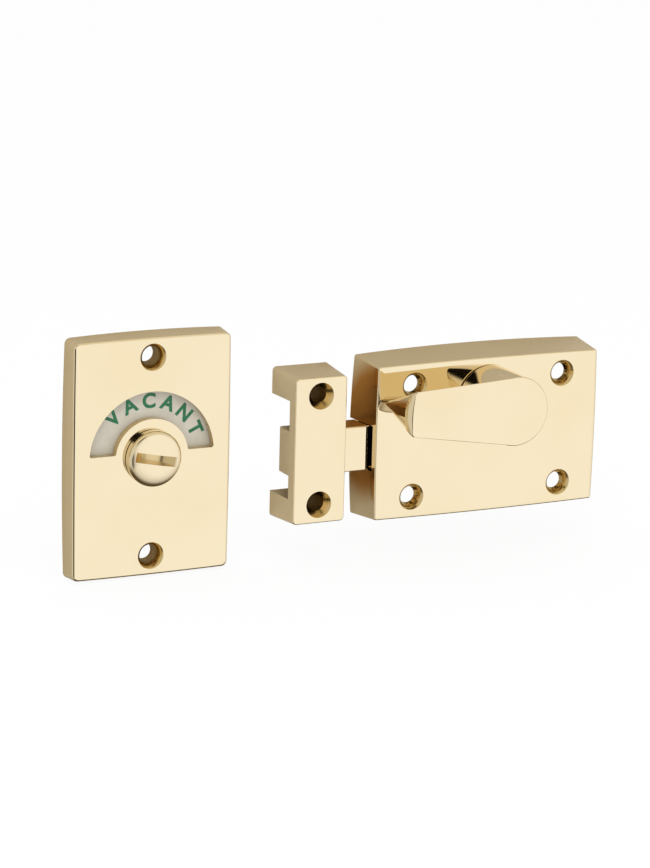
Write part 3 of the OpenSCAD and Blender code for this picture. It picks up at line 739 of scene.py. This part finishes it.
def turn_face():
    """Flat front of the arm: a circle opened on one side, drawn out to a tip, closed, rounded and filled."""
    radius = TURN_R - TURN_ARM_IN
    half_tip = TURN_TIP_H / 2
    tip_x = TURN_AXIS.x - TURN_REACH + TURN_TIP_BOW
    run = TURN_AXIS.x - tip_x
    tangent = math.acos(radius / math.hypot(run, half_tip)) + math.atan2(half_tip, run)
    face = hoop("turn_arm", radius, at_y(TURN_AXIS, TURN_LOW.y), ARM_SIDES)
    pick(face, "VERT", lambda vert: vert.co.x < TURN_AXIS.x - radius * math.cos(tangent))
    bpy.ops.mesh.delete(type="VERT")
    for side in (1, -1):
        deselect()
        from_left = sorted((vertex.co.copy() for vertex in face.data.vertices), key=lambda co: co.x)
        end = next(co for co in from_left if co.x > tip_x + TURN_R and side * (co.z - TURN_AXIS.z) > 0)
        pick(face, "VERT", lambda vert: (vert.co - end).length < TOUCH)
        push(Vector((tip_x, TURN_LOW.y, TURN_AXIS.z + side * half_tip)) - end)
    pick(face, "VERT", lambda vert: abs(vert.co.x - tip_x) < TOUCH)
    bpy.ops.mesh.edge_face_add()
    bpy.ops.mesh.bevel(offset=TURN_TIP_CORNER, segments=5, affect="VERTICES")
    pick(face, "EDGE", lambda edge: edge_along(2)(edge) and edge.calc_length() > half_tip)
    bpy.ops.mesh.subdivide(number_cuts=7)
    deselect()
    for vertex in face.data.vertices:
        if vertex.co.x < tip_x + TURN_R:
            vertex.co.x -= TURN_TIP_BOW * (1 - ((vertex.co.z - TURN_AXIS.z) / half_tip) ** 2)
    pick(face, "VERT")
    bpy.ops.mesh.edge_face_add()
    deselect()
    return face


def roll(depth):
    """Quarter-round: how far the surface still is from the edge, from 1 at the front to 0 at depth 1."""
    return 1 - math.sin(math.acos(1 - depth)) if depth < 1 else 0


def turn_arm():
    """Arm drawn back from its face in steps, then shaped: tip rolled over, long edges eased, back a ridge."""
    arm = turn_face()
    front = TURN_LOW.y
    rolled = [TURN_ROLL_DEPTH * (1 - math.cos(math.radians(angle))) for angle in TURN_ROLL_STEPS]
    depth = 0
    pick(arm, "FACE")
    for deeper in rolled + [TURN_BACK_DEPTH] + [ridge_depth for ridge_depth, share in TURN_RIDGE]:
        push((0, deeper - depth, 0))
        depth = deeper
    outward(arm)
    ridge = {round(ridge_depth / TOUCH): share for ridge_depth, share in TURN_RIDGE}
    for vertex in arm.data.vertices:
        depth = vertex.co.y - front
        away = at_y(vertex.co - TURN_AXIS, 0)
        eased = TURN_SIDE_EDGE * roll(depth / TURN_SIDE_EDGE)
        if away.x > 0:
            away *= 1 - eased / away.length
        else:
            away.z -= math.copysign(min(eased, abs(away.z)), away.z)
        if away.x < TURN_TIP_BOW + TURN_TIP_CORNER - TURN_REACH:
            middle = 1 - TURN_ROLL_FADE * (2 * away.z / TURN_TIP_H) ** 2
            away.x += TURN_ROLL_IN * middle * roll(depth / TURN_ROLL_DEPTH)
        squeeze = 1 - (1 - TURN_BACK_SHARE) * min(depth / TURN_BACK_DEPTH, 1)
        away.z *= ridge.get(round(depth / TOUCH), squeeze)
        vertex.co = at_y(TURN_AXIS + away, vertex.co.y)
    turn_about(arm, TURN_AXIS, -TURN_TILT)
    return arm


def turn_casting():
    """Round end with the arm, the journal behind it, the spindle's socket and the grub screw's hole."""
    front = TURN_LOW.y
    piece = rod("turn_casting", TURN_R, at_y(TURN_AXIS, front), at_y(TURN_AXIS, TURN_BASE), FINE_SIDES)
    pick(piece, "EDGE", edge_at_y(front))
    bpy.ops.mesh.bevel(offset=TURN_SIDE_EDGE, segments=EDGE_STEPS)
    pick(piece, "EDGE", edge_at_y(TURN_BASE))
    bpy.ops.mesh.bevel(offset=TURN_SIDE_EDGE, segments=3)
    deselect()
    combine(piece, turn_arm(), "UNION")
    journal = rod("journal", JOURNAL_R, at_y(TURN_AXIS, TURN_HIGH.y), at_y(TURN_AXIS, TURN_BASE - PAST))
    combine(piece, journal, "UNION")
    half = SPINDLE_SQUARE / 2
    socket = block("socket", TURN_AXIS + Vector((-half, TURN_HIGH.y - SOCKET_DEPTH, -half)),
                   TURN_AXIS + Vector((half, TURN_HIGH.y + PAST, half)))
    combine(piece, socket)
    grub = at_y(TURN_AXIS, TURN_BASE - GRUB_UP)
    combine(piece, rod("grub_hole", GRUB_R, grub, grub - Vector((0, 0, TURN_R + PAST)), SMALL_SIDES))
    polish(piece, angle=25)
    fit(piece, "turn", "polished_brass", brass, "thumb_turn")


# Bolt

def rack_tool():
    """Row of tapered cutters, one for each gap of the rack."""
    slope = math.tan(RACK_ANGLE)
    mouth = RACK_PITCH / 4 + RACK_MODULE * slope
    floor = mouth - RACK_DEPTH * slope
    bottom = BOLT_HIGH.z - RACK_DEPTH
    first = RACK_FIRST * RACK_PITCH
    tool = block("rack_tool", Vector((first - mouth, BOLT_LOW.y - PAST, bottom)),
                 Vector((first + mouth, BOLT_HIGH.y + PAST, BOLT_HIGH.z)))
    pick(tool, "FACE", facing((0, 0, -1)))
    bpy.ops.transform.resize(value=(floor / mouth, 1, 1), center_override=(first, 0, bottom))
    pick(tool, "FACE", facing((0, 0, 1)))
    push((0, 0, PAST))
    deselect()
    modify(tool, "ARRAY", count=RACK_GAPS, use_relative_offset=False, use_constant_offset=True,
           constant_offset_displace=(RACK_PITCH, 0, 0))
    return tool


def bolt_bar():
    """Flat bar with a rounded nose, a heel with the spring's pocket, and the rack in its top edge."""
    bottom = BOLT_LOW.z + HEEL_H
    piece = block("bolt_bar", Vector((BOLT_LOW.x, BOLT_LOW.y, bottom)), BOLT_HIGH)
    pick(piece, "FACE")
    bpy.ops.mesh.bisect(plane_co=(HEEL_X, 0, 0), plane_no=(1, 0, 0))
    pick(piece, "FACE", lambda face: facing((0, 0, -1))(face) and face.calc_center_median().x > HEEL_X)
    push((0, 0, -HEEL_H))
    pick(piece, "EDGE", lambda edge: edge_along(2)(edge) and edge.verts[0].co.x < BOLT_LOW.x + TOUCH)
    bpy.ops.mesh.bevel(offset=NOSE_R, segments=5)
    deselect()
    middle = Vector(((HEEL_X + BOLT_HIGH.x) / 2, (BOLT_LOW.y + BOLT_HIGH.y) / 2, BOLT_LOW.z))
    half = Vector((POCKET.x / 2, POCKET.y / 2, POCKET.z))
    combine(piece, block("pocket", middle - half, middle + half))
    break_edges(piece, BOLT_EDGE, segments=3)
    combine(piece, rack_tool())
    polish(piece)
    fit(piece, "bolt", "polished_brass", brass, "bolt")


# Release turn and indicator disc

def release_head():
    """Low boss: a cylinder with its front edge rounded, its face parted into rings and its front domed."""
    front = PLATE_LOW.y - RELEASE_OUT
    head = rod("release_casting", RELEASE_R, at_y(PLATE_AXIS, front),
               at_y(PLATE_AXIS, PLATE_LOW.y - RELEASE_GAP), FINE_SIDES)
    pick(head, "EDGE", edge_at_y(front))
    bpy.ops.mesh.bevel(offset=RELEASE_EDGE, segments=8)
    pick(head, "FACE", lambda face: facing((0, -1, 0))(face) and len(face.verts) > 4)
    step = (RELEASE_R - RELEASE_EDGE) / (RELEASE_RINGS + 1)
    for _ in range(RELEASE_RINGS):
        bpy.ops.mesh.inset(thickness=step)
    deselect()
    for vertex in head.data.vertices:
        if vertex.co.y < front + RELEASE_EDGE + TOUCH:
            share = at_y(vertex.co - PLATE_AXIS, 0).length / RELEASE_R
            vertex.co.y -= RELEASE_DOME * (1 - share ** 2)
    return head


def release_casting():
    """Boss with its coin slot, and a shank with two flats, a square socket and a groove for its ring."""
    piece = release_head()
    front = PLATE_LOW.y - RELEASE_OUT
    shank = rod("shank", SHANK_R, at_y(PLATE_AXIS, RELEASE_HIGH.y), at_y(PLATE_AXIS, PLATE_LOW.y - PAST),
                SHANK_SIDES)
    combine(piece, shank, "UNION")
    cutter_r = (SLOT_L ** 2 / 4 + SLOT_D ** 2) / (2 * SLOT_D)
    cutter = at_y(PLATE_AXIS, front + SLOT_D - cutter_r)
    half_slot = Vector((0, 0, SLOT_W / 2))
    combine(piece, rod("coin_slot", cutter_r, cutter - half_slot, cutter + half_slot, FINE_SIDES))
    for side in (1, -1):
        flat = PLATE_AXIS.z + side * (SHANK_R - SHANK_FLAT)
        away = PLATE_AXIS.z + side * (SHANK_R + PAST)
        combine(piece, block("flat", Vector((PLATE_AXIS.x - 2 * SHANK_R, DISC_LOW.y, min(flat, away))),
                             Vector((PLATE_AXIS.x + 2 * SHANK_R, PAST, max(flat, away)))))
    half = RELEASE_SQUARE / 2
    combine(piece, block("socket", PLATE_AXIS + Vector((-half, RELEASE_HIGH.y - RELEASE_SOCKET, -half)),
                         PLATE_AXIS + Vector((half, PAST, half))))
    combine(piece, ring_tool("groove", 2 * SHANK_R, SHANK_R - SHANK_GROOVE, PLATE_AXIS,
                             CLIP_LOW.y - GROOVE_ROOM, CLIP_HIGH.y + GROOVE_ROOM))
    turn_about(piece, PLATE_AXIS, -LEAN)
    break_edges(piece, FINE_EDGE)
    polish(piece)
    machined_and_shaded(piece, [PLATE_AXIS], SLOT_L / 2, front)
    fit(piece, "indicator", "polished_brass", satin_brass, "release_turn")


def word_on_disc(word, material, middle):
    """A state word in plain capitals, letter by letter round the disc, centred on the angle given.

    Where a thickened stroke crosses itself, a few faces are left looking inwards, and are turned at the end.
    """
    size = LETTER_H / LETTER_CAP
    letters = []
    for place, letter in enumerate(word):
        deselect()
        bpy.ops.object.text_add()
        text = bpy.context.active_object
        text.data.body = letter
        text.data.size = size
        text.data.offset = LETTER_BOLD * size
        text.data.extrude = LETTER_OUT
        text.data.align_x = "CENTER"
        bpy.ops.object.convert(target="MESH")
        piece = bpy.context.active_object
        angle = middle + ((len(word) - 1) / 2 - place) * LETTER_STEP[word]
        upright = Matrix.Translation((0, 0, WORD_R - LETTER_H / 2)) @ Matrix.Rotation(math.pi / 2, 4, "X")
        piece.data.transform(Matrix.Translation(at_y(PLATE_AXIS, DISC_LOW.y)) @ upright)
        turn_about(piece, PLATE_AXIS, angle)
        letters.append(piece)
    take(letters[0])
    for piece in letters:
        piece.select_set(True)
    bpy.ops.object.join()
    joined = bpy.context.active_object
    joined.name = "word_" + word.lower()
    pick(joined, "VERT")
    bpy.ops.mesh.remove_doubles(threshold=TOUCH)
    outward(joined)
    pick(joined, "FACE", lambda face: (abs(face.normal.y) > FACING
                                       and face.normal.y * (face.calc_center_median().y - DISC_LOW.y) < 0))
    bpy.ops.mesh.flip_normals()
    deselect()
    fit(joined, "indicator", "enamel", material)


# Small pieces kept from the CAD part

def eased(node, body, slot, material, width):
    """Copy of a CAD piece with its triangles merged back into faces and its sharp edges broken."""
    piece = bpy.data.objects.new(node + "_eased", frame["nodes"][node].data.copy())
    bpy.context.scene.collection.objects.link(piece)
    pick(piece, "VERT")
    bpy.ops.mesh.customdata_custom_splitnormals_clear()
    bpy.ops.mesh.remove_doubles(threshold=TOUCH)
    bpy.ops.mesh.dissolve_limited(angle_limit=math.radians(1))
    deselect()
    break_edges(piece, width)
    polish(piece)
    fit(piece, body, slot, material, node)


# Studio

def studio_floor():
    """White paper floor that keeps a soft shadow; the brass sees the cards instead."""
    deselect()
    bpy.ops.mesh.primitive_plane_add(size=FLOOR_SIZE, location=(0, 0, cad_box[0].z))
    floor = named("studio_floor")
    floor.visible_glossy = False
    material = bpy.data.materials.new("white_paper")
    material.use_nodes = True
    tree = material.node_tree
    tree.nodes.remove(tree.nodes["Principled BSDF"])
    path = add_node(tree, "ShaderNodeLightPath", {}, {}).outputs
    paper = add_node(tree, "ShaderNodeBsdfDiffuse", {}, {"Color": linear(PAPER_COLOUR)})
    glow = add_node(tree, "ShaderNodeEmission", {}, {"Color": linear(WHITE), "Strength": 1})
    seen = add_node(tree, "ShaderNodeMath", {"operation": "MAXIMUM"},
                    {0: path["Is Camera Ray"], 1: path["Is Transmission Ray"]})
    share = add_node(tree, "ShaderNodeMath", {"operation": "MULTIPLY"}, {0: seen.outputs[0], 1: FLOOR_GLOW})
    mixed = add_node(tree, "ShaderNodeMixShader", {},
                     {0: share.outputs[0], 1: paper.outputs[0], 2: glow.outputs[0]})
    tree.links.new(mixed.outputs[0], tree.nodes["Material Output"].inputs["Surface"])
    floor.data.materials.append(material)


def studio_board():
    """Matt board level with the castings' backs, seen only in the brass, with a soft-edged brown patch of painted
    shade.

    It is open behind the case and plate, so that their insides aren't dark, except behind the screw holes.
    """
    board = block("backing_board", BOARD_LOW, BOARD_HIGH)
    inset = Vector((CASE_WALL, -PAST, CASE_WALL))
    for low, high in ((CASE_LOW, CASE_HIGH), (PLATE_LOW, PLATE_HIGH)):
        combine(board, block("opening", low + inset, high - inset))
    for place in screw_places("case_screws") + screw_places("plate_screws"):
        combine(board, rod("spot", SPOT_R, at_y(place, BOARD_LOW.y), at_y(place, BOARD_HIGH.y)), "UNION")
    board.visible_camera = False
    board.visible_diffuse = False
    board.visible_transmission = False
    board.visible_shadow = False
    material, tree, shader, where = new_material("matt_card")
    placed = add_node(tree, "ShaderNodeMapping", {"vector_type": "TEXTURE"},
                      {"Vector": where, "Location": PAINTED_GAP_SHADE_MIDDLE, "Scale": PAINTED_GAP_SHADE_HALF})
    inside = add_node(tree, "ShaderNodeTexGradient", {"gradient_type": "SPHERICAL"},
                      {"Vector": placed.outputs[0]})
    gap_shade = add_node(tree, "ShaderNodeMapRange", {"interpolation_type": "SMOOTHSTEP"},
                     {"Value": inside.outputs["Fac"], "From Min": 0, "From Max": PAINTED_GAP_SHADE_EDGE})
    # Painted shade: the brown patch darkens the board behind the gap between keep and case, where shade falls
    colour = add_node(tree, "ShaderNodeMix", {"data_type": "RGBA"},
                      {"Factor": gap_shade.outputs[0],
                       COLOUR_A: linear(BOARD_COLOUR), COLOUR_B: linear(PAINTED_GAP_SHADE_COLOUR)})
    tree.links.new(colour.outputs[COLOUR_OUT], shader.inputs["Base Color"])
    shader.inputs["Roughness"].default_value = 1
    shader.inputs["Specular IOR Level"].default_value = 0
    board.data.materials.append(material)


def studio_cards(tree):
    """Colour by direction of the cards that stand round the table."""
    way = add_node(tree, "ShaderNodeTexCoord", {}, {}).outputs["Generated"]
    colour = linear(ROOM_COLOUR)
    for towards, begins, full, card in CARDS:
        facing_card = add_node(tree, "ShaderNodeVectorMath", {"operation": "DOT_PRODUCT"},
                               {0: way, 1: towards})
        share = add_node(tree, "ShaderNodeMapRange", {"interpolation_type": "SMOOTHSTEP"},
                         {"Value": facing_card.outputs["Value"], "From Min": begins, "From Max": full})
        mixed = add_node(tree, "ShaderNodeMix", {"data_type": "RGBA"},
                         {"Factor": share.outputs[0], COLOUR_A: colour, COLOUR_B: linear(card)})
        colour = mixed.outputs[COLOUR_OUT]
    return colour


def studio_tent():
    """White tent that lights softly from all round; mirrors see the cards in it."""
    world = bpy.data.worlds.new("white_tent")
    bpy.context.scene.world = world
    world.use_nodes = True
    tree = world.node_tree
    path = add_node(tree, "ShaderNodeLightPath", {}, {}).outputs
    colour = add_node(tree, "ShaderNodeMix", {"data_type": "RGBA"},
                      {"Factor": path["Is Glossy Ray"],
                       COLOUR_A: linear(WHITE), COLOUR_B: studio_cards(tree)})
    level = add_node(tree, "ShaderNodeMapRange", {},
                     {"Value": path["Is Diffuse Ray"], "To Min": 1, "To Max": TENT_LIGHT})
    background = tree.nodes["Background"]
    tree.links.new(colour.outputs[COLOUR_OUT], background.inputs["Color"])
    tree.links.new(level.outputs[0], background.inputs["Strength"])


def studio_lamp():
    """Large soft box above and to the left, which mirrors don't show."""
    deselect()
    bpy.ops.object.light_add(type="AREA", location=LAMP_PLACE)
    lamp = bpy.context.active_object
    lamp.name = "soft_box"
    lamp.data.size = LAMP_SIZE
    lamp.data.energy = LAMP_POWER
    lamp.rotation_euler = ((cad_box[0] + cad_box[1]) / 2 - LAMP_PLACE).to_track_quat("-Z", "Y").to_euler()
    lamp.visible_glossy = False


def studio_camera():
    """Long-lens camera to the left of the set and above it, tilted slightly on its side."""
    deselect()
    bpy.ops.object.camera_add(location=CAMERA_PLACE)
    camera = bpy.context.active_object
    camera.name = "camera"
    camera.data.lens = CAMERA_LENS
    camera.data.sensor_width = CAMERA_SENSOR
    turn = Matrix.Rotation(-CAMERA_AZIMUTH, 4, "Z") @ Matrix.Rotation(math.pi / 2 - CAMERA_DROP, 4, "X")
    camera.rotation_euler = (turn @ Matrix.Rotation(CAMERA_ROLL, 4, "Z")).to_euler()
    bpy.context.scene.camera = camera


studio_camera()
case_casting()
keep_casting()
plate_casting()
turn_casting()
bolt_bar()
release_casting()
word_on_disc("VACANT", green_paint, -LEAN)
word_on_disc("ENGAGED", red_paint, math.pi - LEAN)
for number in range(1, 5):
    eased(f"back_plate_screw_{number}", "fixed_castings", "steel", zinc_steel, width=0.1 * MM)
eased("back_plate", "fixed_castings", "polished_brass", brass, width=0.2 * MM)
eased("turn_bush", "fixed_castings", "nylon", nylon, width=0.1 * MM)
eased("turn_grub_screw", "turn", "steel", zinc_steel, width=0.15 * MM)
eased("turn_spindle", "turn", "steel", zinc_steel, width=0.3 * MM)
eased("pinion", "turn", "polished_brass", brass, width=0.12 * MM)
eased("pinion_washer", "turn", "steel", zinc_steel, width=0.1 * MM)
eased("pinion_clip", "turn", "spring_steel", spring_steel, width=0.1 * MM)
eased("bolt_spring", "bolt", "spring_steel", spring_steel, width=0.08 * MM)
eased("indicator_disc", "indicator", "enamel", enamel, width=0.15 * MM)
eased("disc_washer", "fixed_castings", "nylon", nylon, width=0.05 * MM)
eased("disc_clip", "indicator", "spring_steel", spring_steel, width=0.1 * MM)
eased("disc_stop_pin", "fixed_castings", "steel", zinc_steel, width=0.15 * MM)

studio_floor()
studio_board()
studio_tent()
studio_lamp()
bpy.context.scene.view_settings.view_transform = "Standard"
